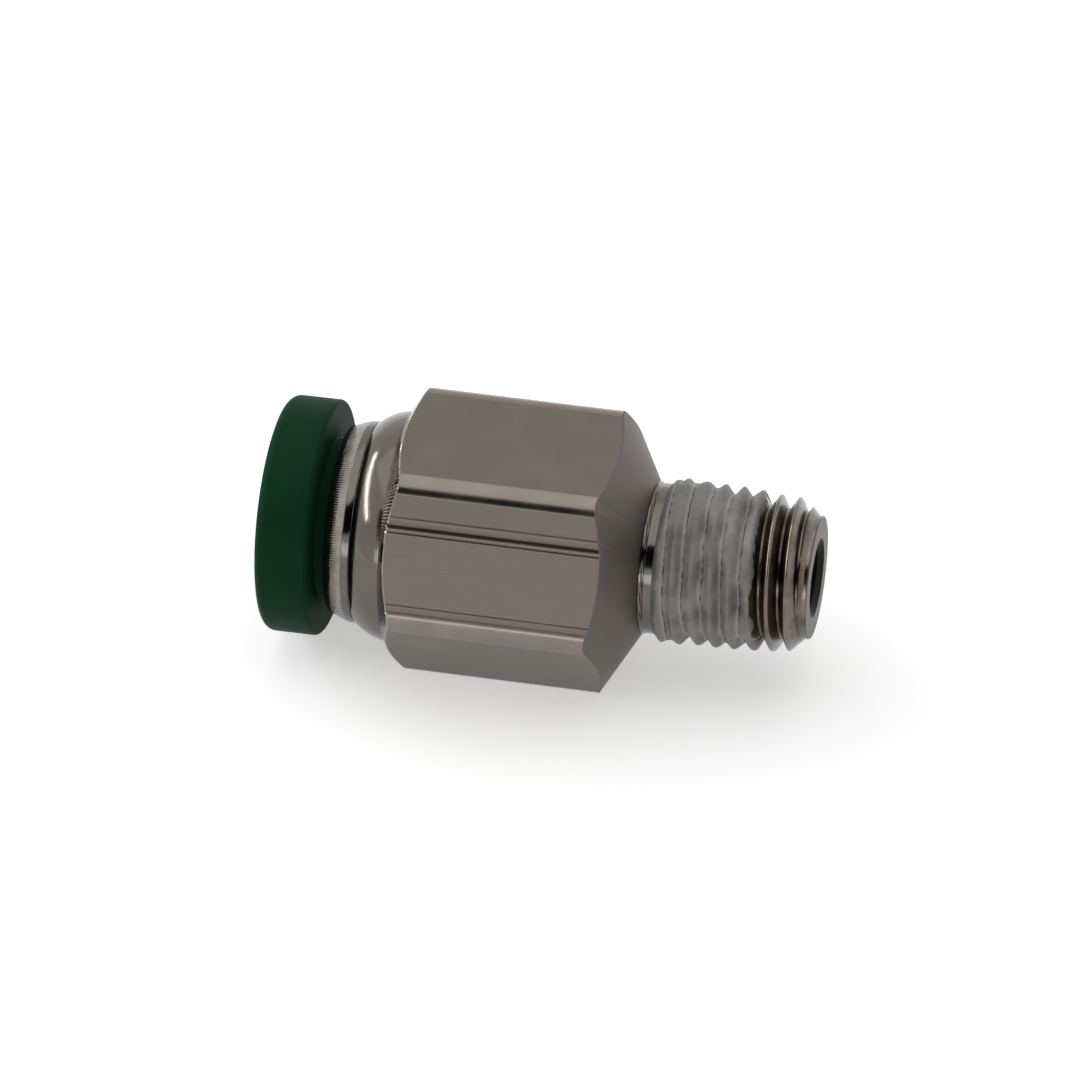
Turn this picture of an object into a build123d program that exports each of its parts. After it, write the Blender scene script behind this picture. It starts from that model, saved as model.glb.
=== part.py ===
from build123d import *
import math
import os

# Push-in tube fitting with a tapered male pipe stud, at its real size in millimetres.
# The axis runs along X, with the green button at -X and the stud at +X. The fitting lies
# on one flat of its hexagon, so Z is 0 there, and the origin is below its middle.

os.makedirs("parts", exist_ok=True)

# The tube that the fitting takes
tube_diameter = 6.35
tube_clearance = 0.075

# Release button: the walls are radial, and the flange comes to 11.8 across
flange_rim = 1.92
flange_thickness = 2.62
flange_edge_radius = 0.5
flange_edge_steps = 3
button_lead_in = 0.4
button_lip_length = 1.6
sleeve_wall = 0.36
sleeve_length = 2.5

# Collet that grips the tube
collet_wall = 0.33
collet_end_gap = 0.04
finger_count = 6
finger_slot_width = 0.6
finger_slot_start = 1.8
head_gap = 0.25
head_length = 1.55
head_relief = 0.17
tooth_count = 2
tooth_pitch = 0.55
tooth_width = 0.36
tooth_tip_clearance = 0.02
bead_height = 0.12
bead_width = 0.4
bead_setback = 0.35
swivel_clearance = 0.04

# How far the collet slides: outwards until its heads meet the cone, inwards to the collar
grip_travel = 0.7
grip_clearance = 0.03
rest_gap = 0.5

# Retaining collar pressed into the body: it comes to 9.4 across at its nose, 10.1 at its band
sleeve_clearance = 0.06
collar_nose_wall = 0.65
collar_rise = 0.36
collar_cone_length = 1.0
collar_band_length = 0.37
collar_edge_break = 0.08
spigot_wall = 0.58
cone_angle = 12.0
cone_overlap = 0.02
cone_spare = 0.1

# Seal and its spacer
seal_thickness = 1.305
seal_squeeze = 0.095
seal_wall_gap = 0.015
seal_flats = 8
chamber_length = 1.85
spacer_gap = 0.22
spacer_thickness = 0.6
spacer_clearance = 0.02
spacer_bore_clearance = 0.2

# Body: the shoulder comes to 11.6 across beside the hexagon
hex_across_flats = 12.7
hex_corner_radius = 1.1
hex_length = 12.6
hex_chamfer_angle = 30.0
shoulder_lip = 0.06
shoulder_rise = 0.68
shoulder_length = 1.65
shoulder_bulge = 0.13
shoulder_flats = 3
tube_support_length = 4.1
tube_support_chamfer = 0.2
drill_point_angle = 59.0
flow_bore_diameter = 3.4
flow_bore_chamfer = 0.28

# Tapered pipe stud, 27 threads to the inch, drawn here as the cone over its crests
neck_diameter = 7.5
neck_length = 0.75
stud_end_diameter = 7.64
stud_taper = 1.0 / 16.0
stud_length = 7.58
stud_end_chamfer = 0.76
stud_nose_length = 0.22
stud_start_chamfer = 0.26

# Dried sealant on the neck end of the stud
sealant_thickness = 0.07
sealant_length = 5.12

# Radii, from the tube outwards
tube_radius = tube_diameter / 2
tube_way_radius = tube_radius + tube_clearance
stem_radius = tube_way_radius + collet_wall
seat_radius = stem_radius + swivel_clearance
sleeve_radius = seat_radius + sleeve_wall
flange_radius = sleeve_radius + flange_rim
collar_bore_radius = sleeve_radius + sleeve_clearance
spigot_radius = collar_bore_radius + spigot_wall
collar_nose_radius = collar_bore_radius + collar_nose_wall
collar_band_radius = collar_nose_radius + collar_rise
shoulder_mouth_radius = collar_band_radius + shoulder_lip
shoulder_radius = shoulder_mouth_radius + shoulder_rise
seal_inner_radius = tube_radius - seal_squeeze
seal_outer_radius = seal_inner_radius + seal_thickness
chamber_radius = seal_outer_radius + seal_wall_gap
flow_bore_radius = flow_bore_diameter / 2
stud_end_radius = stud_end_diameter / 2
neck_radius = neck_diameter / 2

# Stations along the axis, from the button's front face
sleeve_end = flange_thickness + sleeve_length
head_start = sleeve_end + head_gap
head_end = head_start + head_length
collar_nose = flange_thickness + rest_gap
collar_band = collar_nose + collar_cone_length
body_mouth = collar_band + collar_band_length
cone_start = head_start - grip_travel + cone_overlap
cone_end = cone_start + head_length + cone_spare
spacer_start = head_end + rest_gap + spacer_gap
spacer_seat = spacer_start + spacer_thickness
chamber_end = spacer_seat + chamber_length
tube_stop = chamber_end + tube_support_length
hex_start = body_mouth + shoulder_length
hex_end = hex_start + hex_length
neck_end = hex_end + neck_length
stud_start = neck_end + stud_start_chamfer
stud_end = neck_end + stud_length
nose_start = stud_end - stud_nose_length
chamfer_start = nose_start - stud_end_chamfer

# The frame: the axis lies half a flat width above the ground
overall_length = stud_end
front_x = -overall_length / 2
axis_height = hex_across_flats / 2
section = Plane(origin=(front_x, 0, axis_height), x_dir=(1, 0, 0), z_dir=(0, -1, 0))
turning_axis = Axis((front_x, 0, axis_height), (1, 0, 0))


def cross_section(station):
    """The plane square to the axis at a station, with Z up."""
    return Plane(
        origin=(front_x + station, 0, axis_height), x_dir=(0, 1, 0), z_dir=(1, 0, 0)
    )


def stud_radius(station):
    """Radius of the cone over the thread's crests."""
    return stud_end_radius + (stud_end - station) * stud_taper / 2


def cone_radius(station):
    """Inner radius of the cone in the collar that closes the fingers."""
    return collar_bore_radius + (station - cone_start) * math.tan(math.radians(cone_angle))


def rounded_edge(station, radius, first_turn):
    """Points round an edge of the flange, clockwise through a quarter turn about its centre."""
    turns = [
        math.radians(first_turn - 90.0 * step / flange_edge_steps)
        for step in range(flange_edge_steps + 1)
    ]
    return [
        (station + flange_edge_radius * math.cos(turn), radius + flange_edge_radius * math.sin(turn))
        for turn in turns
    ]


def head_radius(station):
    """Outer radius of a finger head, which meets the cone at the end of its travel."""
    return cone_radius(station - grip_travel) - grip_clearance / math.cos(math.radians(cone_angle))


# Body: a hexagon with both ends turned down at 30 degrees
chamfer_slope = math.tan(math.radians(hex_chamfer_angle))
corner_reach = hex_across_flats / math.sqrt(3)
front_corner = hex_start + (corner_reach - shoulder_radius) * chamfer_slope
rear_corner = hex_end - (corner_reach - neck_radius) * chamfer_slope
drill_depth = (tube_way_radius - flow_bore_radius) / math.tan(math.radians(drill_point_angle))

with BuildPart() as body:
    with BuildSketch(cross_section(hex_start)):
        RegularPolygon(radius=hex_across_flats / 2, side_count=6, major_radius=False)
    extrude(amount=hex_length)
    fillet(body.edges().filter_by(Axis.X), radius=hex_corner_radius)

    # Turned envelope of the hexagon
    with BuildSketch(section):
        with BuildLine():
            Polyline(
                (hex_start, 0),
                (hex_start, shoulder_radius),
                (front_corner, corner_reach),
                (rear_corner, corner_reach),
                (hex_end, neck_radius),
                (hex_end, 0),
                close=True,
            )
        make_face()
    revolve(axis=turning_axis, mode=Mode.INTERSECT)

    # Rounded shoulder behind the collar: its shallow arc is drawn in flats
    with BuildSketch(section):
        lip_point = Vector(body_mouth + collar_edge_break, shoulder_mouth_radius)
        root_point = Vector(hex_start, shoulder_radius)
        chord = root_point - lip_point
        outward = Vector(-chord.Y, chord.X).normalized()
        arc_middle = (lip_point + root_point) / 2 + outward * shoulder_bulge
        with BuildLine():
            arc = ThreePointArc(lip_point, arc_middle, root_point, mode=Mode.PRIVATE)
            Polyline(
                *[arc @ (step / shoulder_flats) for step in range(shoulder_flats + 1)],
                (hex_start + shoulder_length, shoulder_radius),
                (hex_start + shoulder_length, 0),
                (body_mouth, 0),
                (body_mouth, shoulder_mouth_radius - collar_edge_break),
                close=True,
            )
        make_face()
    revolve(axis=turning_axis)

    # Neck and tapered stud
    with BuildSketch(section):
        with BuildLine():
            Polyline(
                (hex_end - neck_length, 0),
                (hex_end - neck_length, neck_radius),
                (neck_end, neck_radius),
                (stud_start, stud_radius(stud_start)),
                (chamfer_start, stud_radius(chamfer_start)),
                (nose_start, stud_radius(chamfer_start) - stud_end_chamfer),
                (stud_end, stud_radius(chamfer_start) - stud_end_chamfer),
                (stud_end, 0),
                close=True,
            )
        make_face()
    revolve(axis=turning_axis)

    # Stepped bore: socket, seal chamber, tube support, tube stop and flow way
    with BuildSketch(section):
        with BuildLine():
            Polyline(
                (body_mouth, 0),
                (body_mouth, spigot_radius),
                (spacer_seat, spigot_radius),
                (spacer_seat, chamber_radius),
                (chamber_end, chamber_radius),
                (chamber_end, tube_way_radius + tube_support_chamfer),
                (chamber_end + tube_support_chamfer, tube_way_radius),
                (tube_stop, tube_way_radius),
                (tube_stop + drill_depth, flow_bore_radius),
                (stud_end - flow_bore_chamfer, flow_bore_radius),
                (stud_end, flow_bore_radius + flow_bore_chamfer),
                (stud_end, 0),
                close=True,
            )
        make_face()
    revolve(axis=turning_axis, mode=Mode.SUBTRACT)
body.part.label = "body"
export_step(body.part, "parts/body.step")


# Retaining collar: conical nose, narrow band, pressed spigot and the inner gripping cone
with BuildPart() as retaining_collar:
    with BuildSketch(section):
        with BuildLine():
            Polyline(
                (collar_nose, collar_bore_radius),
                (collar_nose, collar_nose_radius - collar_edge_break),
                (collar_nose + collar_edge_break, collar_nose_radius),
                (collar_band, collar_band_radius),
                (body_mouth - collar_edge_break, collar_band_radius),
                (body_mouth, collar_band_radius - collar_edge_break),
                (body_mouth, spigot_radius),
                (cone_end, spigot_radius),
                (cone_end, cone_radius(cone_end)),
                (cone_start, collar_bore_radius),
                close=True,
            )
        make_face()
    revolve(axis=turning_axis)
retaining_collar.part.label = "retaining_collar"
export_step(retaining_collar.part, "parts/retaining_collar.step")


# Release button: a flange with a sleeve that runs in the collar and snaps over the collet
collet_start = button_lip_length + collet_end_gap
bead_start = collet_start + bead_setback
bead_end = bead_start + bead_width
bead_radius = stem_radius + bead_height
edge_centre_radius = flange_radius - flange_edge_radius

with BuildPart() as release_button:
    with BuildSketch(section):
        with BuildLine():
            Polyline(
                (0, tube_way_radius + button_lead_in),
                *rounded_edge(flange_edge_radius, edge_centre_radius, 180.0),
                *rounded_edge(flange_thickness - flange_edge_radius, edge_centre_radius, 90.0),
                (flange_thickness, sleeve_radius),
                (sleeve_end, sleeve_radius),
                (sleeve_end, seat_radius),
                (bead_end + swivel_clearance, seat_radius),
                (bead_end + swivel_clearance, bead_radius + swivel_clearance),
                (bead_start - swivel_clearance, bead_radius + swivel_clearance),
                (bead_start - swivel_clearance, seat_radius),
                (button_lip_length, seat_radius),
                (button_lip_length, tube_way_radius),
                (button_lead_in, tube_way_radius),
                close=True,
            )
        make_face()
    revolve(axis=turning_axis)
release_button.part.label = "release_button"
export_step(release_button.part, "parts/release_button.step")


# Collet: a thin stem, split into fingers whose flared heads carry the teeth
head_bore_radius = tube_way_radius + head_relief
tooth_tip_radius = tube_radius + tooth_tip_clearance

with BuildPart() as collet:
    with BuildSketch(section):
        with BuildLine():
            Polyline(
                (collet_start, tube_way_radius),
                (collet_start, stem_radius),
                (bead_start, stem_radius),
                (bead_start, bead_radius),
                (bead_end, bead_radius),
                (bead_end, stem_radius),
                (head_start, stem_radius),
                (head_start, head_radius(head_start)),
                (head_end, head_radius(head_end)),
                (head_end, head_bore_radius),
                (head_start, head_bore_radius),
                (head_start - head_relief, tube_way_radius),
                close=True,
            )
        make_face()
    revolve(axis=turning_axis)

    # Sharp ridges that bite the tube, steep on the side that holds it
    for tooth in range(tooth_count):
        tooth_back = head_end - tooth * tooth_pitch
        with BuildSketch(section):
            with BuildLine():
                Polyline(
                    (tooth_back, head_bore_radius),
                    (tooth_back - tooth_width / 4, tooth_tip_radius),
                    (tooth_back - tooth_width, head_bore_radius),
                    (tooth_back - tooth_width, head_bore_radius + head_relief),
                    (tooth_back, head_bore_radius + head_relief),
                    close=True,
                )
            make_face()
        revolve(axis=turning_axis)

    # Slots that leave the fingers free to spring, each with a round root
    slot_root = collet_start + finger_slot_start
    slot_length = head_end - slot_root
    for finger in range(finger_count):
        slot_turn = 360.0 / finger_count * (finger + 0.5)
        with BuildSketch(section.rotated((slot_turn, 0, 0))):
            with Locations((slot_root + slot_length, 0)):
                SlotCenterToCenter(slot_length * 2, finger_slot_width)
        extrude(amount=head_radius(head_end) * 2, mode=Mode.SUBTRACT)
collet.part.label = "collet"
export_step(collet.part, "parts/collet.step")


# Tube seal: a rubber ring in its chamber, a little tighter than the tube. Its round section
# is drawn in flats.
with BuildPart() as tube_seal:
    with BuildSketch(section):
        with Locations((spacer_seat + chamber_length / 2, seal_inner_radius + seal_thickness / 2)):
            RegularPolygon(
                radius=seal_thickness / 2,
                side_count=seal_flats,
                major_radius=False,
                rotation=180.0 / seal_flats,
            )
    revolve(axis=turning_axis)
tube_seal.part.label = "tube_seal"
export_step(tube_seal.part, "parts/tube_seal.step")


# Seal spacer: the ring that holds the seal in its chamber
with BuildPart() as seal_spacer:
    with BuildSketch(cross_section(spacer_start)):
        Circle(spigot_radius - spacer_clearance)
        Circle(tube_way_radius + spacer_bore_clearance, mode=Mode.SUBTRACT)
    extrude(amount=spacer_thickness)
seal_spacer.part.label = "seal_spacer"
export_step(seal_spacer.part, "parts/seal_spacer.step")


# Thread sealant: a dried coat over the first threads, from the neck on
sealant_end = neck_end + sealant_length

with BuildPart() as thread_sealant:
    with BuildSketch(section):
        with BuildLine():
            Polyline(
                (neck_end, neck_radius),
                (stud_start, stud_radius(stud_start)),
                (sealant_end, stud_radius(sealant_end)),
                (sealant_end, stud_radius(sealant_end) + sealant_thickness),
                (stud_start, stud_radius(stud_start) + sealant_thickness),
                (neck_end, neck_radius + sealant_thickness),
                close=True,
            )
        make_face()
    revolve(axis=turning_axis)
thread_sealant.part.label = "thread_sealant"
export_step(thread_sealant.part, "parts/thread_sealant.step")

print(f"overall length {overall_length:.2f}, tube depth {tube_stop:.2f}")
print(f"collet head from {head_start:.2f} to {head_end:.2f}, cone to {cone_end:.2f}")
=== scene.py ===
import math

import bmesh
import bpy
from mathutils import Matrix, Vector, noise


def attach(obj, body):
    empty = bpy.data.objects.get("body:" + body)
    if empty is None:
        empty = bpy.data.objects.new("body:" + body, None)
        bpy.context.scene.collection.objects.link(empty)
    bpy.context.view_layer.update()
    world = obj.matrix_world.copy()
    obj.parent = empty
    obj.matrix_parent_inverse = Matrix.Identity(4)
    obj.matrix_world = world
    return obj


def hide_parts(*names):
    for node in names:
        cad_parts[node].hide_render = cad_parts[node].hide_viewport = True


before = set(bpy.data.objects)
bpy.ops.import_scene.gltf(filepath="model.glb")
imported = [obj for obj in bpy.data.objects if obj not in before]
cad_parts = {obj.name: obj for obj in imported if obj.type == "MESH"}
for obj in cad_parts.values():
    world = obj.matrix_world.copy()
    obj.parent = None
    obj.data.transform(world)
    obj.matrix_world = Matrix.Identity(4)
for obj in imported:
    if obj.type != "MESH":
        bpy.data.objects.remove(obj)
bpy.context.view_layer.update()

# Push-in tube fitting. Pieces are modelled in millimetres along the fitting's axis, with
# stations counted from the button's front face, and are brought to metres when finished.
fitting = {
    "frontX": -13.535,       # the button's front face in the frame
    "axisHeight": 6.35,      # the axis lies half a flat width above the floor
    "columns": 192,          # columns round every turned surface, so that rings meet
    "socketRadius": 3.25,    # way for the 6.35 mm tube
    "hexStart": 6.14,
    "hexEnd": 18.74,
    "mouth": 4.49,           # where the collar meets the body
    "neckEnd": 19.49,
    "studEnd": 27.07,
    "threadPitch": 0.9407,   # 27 threads to the inch
    "threadMark": 21.11,     # a crest stands here, at this turn up from +Y
    "threadMarkTurn": 47.0,
    "near": 1e-3,            # points this close are taken as one place
}
millimetre = 0.001           # in metres


def deselectAll():
    if bpy.context.mode != "OBJECT":
        bpy.ops.object.mode_set(mode="OBJECT")
    bpy.ops.object.select_all(action="DESELECT")


def pick(piece):
    deselectAll()
    piece.select_set(True)
    bpy.context.view_layer.objects.active = piece


def place(station, y=0.0, z=0.0):
    # millimetres in the frame, from a station and an offset from the axis
    return Vector((fitting["frontX"] + station, y, fitting["axisHeight"] + z))


def turned(name, profile, closed=False):
    # a turned shape: one circle, extruded and scaled from ring to ring along the axis
    first = profile[0]
    deselectAll()
    bpy.ops.mesh.primitive_circle_add(vertices=fitting["columns"], radius=first[1],
                                      location=place(first[0]), rotation=(0, math.pi / 2, 0))
    piece = bpy.context.object
    piece.name = name
    bpy.ops.object.transform_apply(location=True, rotation=True, scale=True)
    bpy.ops.object.mode_set(mode="EDIT")
    bpy.ops.mesh.select_all(action="SELECT")
    for before, after in zip(profile, profile[1:]):
        grow = after[1] / before[1]
        bpy.ops.mesh.extrude_edges_move(TRANSFORM_OT_translate={"value": (after[0] - before[0], 0, 0)})
        bpy.ops.transform.resize(value=(1, grow, grow), center_override=place(after[0]))
    if closed:
        bpy.ops.mesh.select_all(action="SELECT")
        bpy.ops.mesh.remove_doubles(threshold=1e-4)
        bpy.ops.mesh.normals_make_consistent(inside=False)
    bpy.ops.object.mode_set(mode="OBJECT")
    return piece


def modify(piece, kind, **settings):
    pick(piece)
    modifier = piece.modifiers.new(kind.title(), kind)
    for key, value in settings.items():
        setattr(modifier, key, value)
    bpy.ops.object.modifier_apply(modifier=modifier.name)


def finishPiece(piece, bodyName, node, smoothAngle=30.0):
    # to metres, with the place in the mesh, then tied to its body; the CAD node it stands for is hidden
    pick(piece)
    piece.scale = (millimetre, millimetre, millimetre)
    bpy.ops.object.transform_apply(location=True, rotation=True, scale=True)
    bpy.ops.object.shade_smooth_by_angle(angle=math.radians(smoothAngle))
    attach(piece, bodyName)
    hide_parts(node)
    print(f"{piece.name}: {len(piece.data.polygons)} faces")


def arcPoints(centre, radius, startTurn, endTurn, steps):
    # points (station, radius) on an arc, both ends included
    turns = [math.radians(startTurn + (endTurn - startTurn) * i / steps) for i in range(steps + 1)]
    return [(centre[0] + radius * math.cos(t), centre[1] + radius * math.sin(t)) for t in turns]


def toLinear(hexColour):
    # sRGB hex to linear RGBA
    parts = [int(hexColour[i:i + 2], 16) / 255 for i in (1, 3, 5)]
    return tuple(p / 12.92 if p <= 0.04045 else ((p + 0.055) / 1.055) ** 2.4 for p in parts) + (1.0,)


def newMaterial(name):
    material = bpy.data.materials.new(name)
    material.use_nodes = True
    tree = material.node_tree
    shader = next(n for n in tree.nodes if n.type == "BSDF_PRINCIPLED")
    return material, tree, shader


def addNode(tree, kind, settings=None, inputs=None, links=None, stops=None):
    # one node, with its settings, socket values, incoming links {socket: (node, output)} and
    # for a colour ramp its stops
    node = tree.nodes.new(kind)
    for key, value in (settings or {}).items():
        setattr(node, key, value)
    for index, (position, colour) in enumerate(stops or ()):
        ramp = node.color_ramp
        element = ramp.elements[index] if index < 2 else ramp.elements.new(position)
        element.position = position
        element.color = toLinear(colour)
    for key, value in (inputs or {}).items():
        node.inputs[key].default_value = value
    for key, (source, output) in (links or {}).items():
        tree.links.new(source.outputs[output], node.inputs[key])
    return node


def overNoise(low, high):
    # a range's sockets: nearly all of a noise lies between 0.3 and 0.7, and is brought to low and high
    return {"From Min": 0.3, "From Max": 0.7, "To Min": low, "To Max": high}


def startPlate(s, detail):
    # what all the plated faces share: tone and gloss that vary a little over patches of bloomSize
    material, tree, shader = newMaterial(s["name"])
    spot = addNode(tree, "ShaderNodeTexCoord")
    bloom = addNode(tree, "ShaderNodeTexNoise", inputs={"Scale": 1 / s["bloomSize"], "Detail": detail},
                    links={"Vector": (spot, "Object")})
    colour = addNode(tree, "ShaderNodeValToRGB", links={"Fac": (bloom, "Fac")},
                     stops=[(0.35, s["dull"]), (0.65, s["base"])])
    tree.links.new(colour.outputs["Color"], shader.inputs["Base Color"])
    shader.inputs["Metallic"].default_value = 1.0
    rough = addNode(tree, "ShaderNodeMapRange", inputs=overNoise(*s["roughness"]),
                    links={"Value": (bloom, "Fac")})
    tree.links.new(rough.outputs["Result"], shader.inputs["Roughness"])
    return material, tree, shader, spot


# Nickel plate over turned brass: mid grey with a warm tint, satin, with fine tool marks that
# run round the axis
turnedFinish = {
    "name": "turnedNickelPlate", "base": "#69645e", "dull": "#635e58", "roughness": (0.10, 0.16),
    "bloomSize": 1.6e-3,
    "markPitch": 0.13e-3,    # real feed marks are near 0.06 mm, drawn twice as coarse to show
    "around": 900,           # per metre: the marks change over about 1 mm round the axis
    "markHeight": 0.004e-3,
}

# The same plate where the tool chattered, on the front chamfer and the collar's cone: a paler tone
# as painted highlight, with dotted glints from the marks
markedFinishWithPaintedHighlight = {
    "name": "markedPlateWithPaintedHighlight", "base": "#958f88", "dull": "#7c766f", "roughness": (0.08, 0.14),
    "bloomSize": 1.0e-3, "markPitch": 0.30e-3, "around": 900, "markHeight": 0.012e-3,
    # lines along the axis, this many round it: 0.13 mm apart on the collar, coarse enough to show
    "chatter": 236,
    "chatterHeight": 0.7,    # against the marks' height
}


def makeTurnedPlate(s):
    material, tree, shader, spot = startPlate(s, 4.0)
    stretched = addNode(tree, "ShaderNodeMapping",
                        inputs={"Scale": (1 / s["markPitch"], s["around"], s["around"])},
                        links={"Vector": (spot, "Object")})
    marks = addNode(tree, "ShaderNodeTexNoise", inputs={"Scale": 1.0, "Detail": 2.0, "Roughness": 0.6},
                    links={"Vector": (stretched, "Vector")})
    height, output = marks, "Fac"
    if "chatter" in s:
        # waves of the angle round the axis, added to the marks
        parts = addNode(tree, "ShaderNodeSeparateXYZ", links={"Vector": (spot, "Object")})
        rise = addNode(tree, "ShaderNodeMath", {"operation": "SUBTRACT"},
                       inputs={1: fitting["axisHeight"] * millimetre}, links={0: (parts, "Z")})
        turn = addNode(tree, "ShaderNodeMath", {"operation": "ARCTAN2"},
                       links={0: (rise, "Value"), 1: (parts, "Y")})
        lines = addNode(tree, "ShaderNodeMath", {"operation": "MULTIPLY"}, inputs={1: s["chatter"]},
                        links={0: (turn, "Value")})
        wave = addNode(tree, "ShaderNodeMath", {"operation": "SINE"}, links={0: (lines, "Value")})
        height = addNode(tree, "ShaderNodeMath", {"operation": "MULTIPLY_ADD"},
                         inputs={1: s["chatterHeight"]}, links={0: (wave, "Value"), 2: (marks, "Fac")})
        output = "Value"
    bump = addNode(tree, "ShaderNodeBump", inputs={"Strength": 1.0, "Distance": s["markHeight"]},
                   links={"Height": (height, output)})
    tree.links.new(bump.outputs["Normal"], shader.inputs["Normal"])
    return material


# Nickel plate over drawn hexagon bar: satin grey flats with faint long die streaks near 0.1 mm
# wide and 4 mm long
drawnFinish = {
    "name": "drawnNickelPlate", "base": "#6a645c", "dull": "#665f58", "roughness": (0.34, 0.40),
    "bloomSize": 2.5e-3, "streak": (250, 9000, 9000), "grainSize": 0.09e-3, "height": 0.0022e-3,
}

# The long corners of the bar, glossier, in a paler tone than the flats as painted highlight
cornerFinish = {
    "name": "cornerPlateWithPaintedHighlight", "base": "#807870", "dull": "#79716a", "roughness": (0.20, 0.26),
    "bloomSize": 1.5e-3, "streak": (250, 9000, 9000), "grainSize": 0.09e-3, "height": 0.0022e-3,
}

# Nickel plate over the turned rear cone and the faced end: dull, with faint rings 0.1 mm wide
facedFinish = {
    "name": "facedConePlate", "base": "#6a655e", "dull": "#655f59", "roughness": (0.46, 0.52),
    "bloomSize": 2.5e-3, "streak": (9000, 600, 600), "grainSize": 0.09e-3, "height": 0.003e-3,
}

# The drilled flow bore, where hardly any plate is laid: dull brass with drill rings, painted near black as
# shade inside the bore
boreFinish = {
    "name": "borePlateWithPaintedShade", "base": "#2c2822", "dull": "#221f1b", "roughness": (0.5, 0.6),
    "bloomSize": 1.2e-3, "streak": (7000, 500, 500), "grainSize": 0.12e-3, "height": 0.004e-3,
}


def makeStreakedPlate(s):
    # streaks are given per metre along X, Y and Z
    material, tree, shader, spot = startPlate(s, 5.0)
    stretched = addNode(tree, "ShaderNodeMapping", inputs={"Scale": s["streak"]},
                        links={"Vector": (spot, "Object")})
    streaks = addNode(tree, "ShaderNodeTexNoise", inputs={"Scale": 1.0, "Detail": 3.0},
                      links={"Vector": (stretched, "Vector")})
    grain = addNode(tree, "ShaderNodeTexNoise", inputs={"Scale": 1 / s["grainSize"], "Detail": 2.0},
                    links={"Vector": (spot, "Object")})
    both = addNode(tree, "ShaderNodeMath", {"operation": "ADD"},
                   links={0: (streaks, "Fac"), 1: (grain, "Fac")})
    bump = addNode(tree, "ShaderNodeBump", inputs={"Strength": 1.0, "Distance": s["height"]},
                   links={"Height": (both, "Value")})
    tree.links.new(bump.outputs["Normal"], shader.inputs["Normal"])
    return material


# Plated thread: brown tarnish in random patches, and painted shade that deepens towards the roots
threadFinish = {
    "base": "#787067", "stainAndRootShade": "#4a4036", "roughness": 0.20,
    "rootReach": 0.46, "paintedRootShade": 0.75,      # the painted shade ends this far from a root, in pitches
    "stainSize": 0.9e-3, "patches": (-0.25, 0.35), "stainHeight": 0.004e-3,
}


def makeThreadPlate():
    s = threadFinish
    material, tree, shader = newMaterial("threadNickelPlate")
    spot = addNode(tree, "ShaderNodeTexCoord")
    stain = addNode(tree, "ShaderNodeTexNoise", inputs={"Scale": 1 / s["stainSize"], "Detail": 4.0},
                    links={"Vector": (spot, "Object")})
    # painted shade in the roots: darkest at a root and gone at rootReach; the tarnish patches are added to
    # it
    offset = addNode(tree, "ShaderNodeAttribute", {"attribute_name": "rootOffset"})
    away = addNode(tree, "ShaderNodeMath", {"operation": "ABSOLUTE"}, links={0: (offset, "Fac")})
    near = addNode(tree, "ShaderNodeMapRange",
                   inputs={"From Min": 0.0, "From Max": s["rootReach"],
                           "To Min": s["paintedRootShade"], "To Max": 0.0},
                   links={"Value": (away, "Value")})
    patchy = addNode(tree, "ShaderNodeMapRange",
                     inputs={"From Min": 0.35, "From Max": 0.65,
                             "To Min": s["patches"][0], "To Max": s["patches"][1]},
                     links={"Value": (stain, "Fac")})
    amount = addNode(tree, "ShaderNodeMath", {"operation": "ADD", "use_clamp": True},
                     links={0: (near, "Result"), 1: (patchy, "Result")})
    colour = addNode(tree, "ShaderNodeValToRGB", links={"Fac": (amount, "Value")},
                     stops=[(0.0, s["base"]), (1.0, s["stainAndRootShade"])])
    tree.links.new(colour.outputs["Color"], shader.inputs["Base Color"])
    shader.inputs["Metallic"].default_value = 1.0
    shader.inputs["Roughness"].default_value = s["roughness"]
    bump = addNode(tree, "ShaderNodeBump", inputs={"Strength": 1.0, "Distance": s["stainHeight"]},
                   links={"Height": (stain, "Fac")})
    tree.links.new(bump.outputs["Normal"], shader.inputs["Normal"])
    return material


# Green acetal, moulded: deep blue-green with a satin skin, its gloss broken by a fine orange peel
acetalFinish = {
    "base": "#0a301e", "pale": "#0d3623", "hazeSize": 4e-3, "roughness": (0.50, 0.60), "gloss": 0.05,
    "ior": 1.48, "peelSize": 0.35e-3, "peelHeight": 0.004e-3,
}


def makeGreenAcetal():
    s = acetalFinish
    material, tree, shader = newMaterial("greenAcetal")
    spot = addNode(tree, "ShaderNodeTexCoord")
    haze = addNode(tree, "ShaderNodeTexNoise", inputs={"Scale": 1 / s["hazeSize"], "Detail": 3.0},
                   links={"Vector": (spot, "Object")})
    colour = addNode(tree, "ShaderNodeValToRGB", links={"Fac": (haze, "Fac")},
                     stops=[(0.35, s["base"]), (0.7, s["pale"])])
    tree.links.new(colour.outputs["Color"], shader.inputs["Base Color"])
    rough = addNode(tree, "ShaderNodeMapRange", inputs=overNoise(*s["roughness"]),
                    links={"Value": (haze, "Fac")})
    tree.links.new(rough.outputs["Result"], shader.inputs["Roughness"])
    shader.inputs["IOR"].default_value = s["ior"]
    shader.inputs["Specular IOR Level"].default_value = s["gloss"]
    peel = addNode(tree, "ShaderNodeTexNoise", inputs={"Scale": 1 / s["peelSize"], "Detail": 2.0},
                   links={"Vector": (spot, "Object")})
    bump = addNode(tree, "ShaderNodeBump", inputs={"Strength": 1.0, "Distance": s["peelHeight"]},
                   links={"Height": (peel, "Fac")})
    tree.links.new(bump.outputs["Normal"], shader.inputs["Normal"])
    return material
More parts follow.
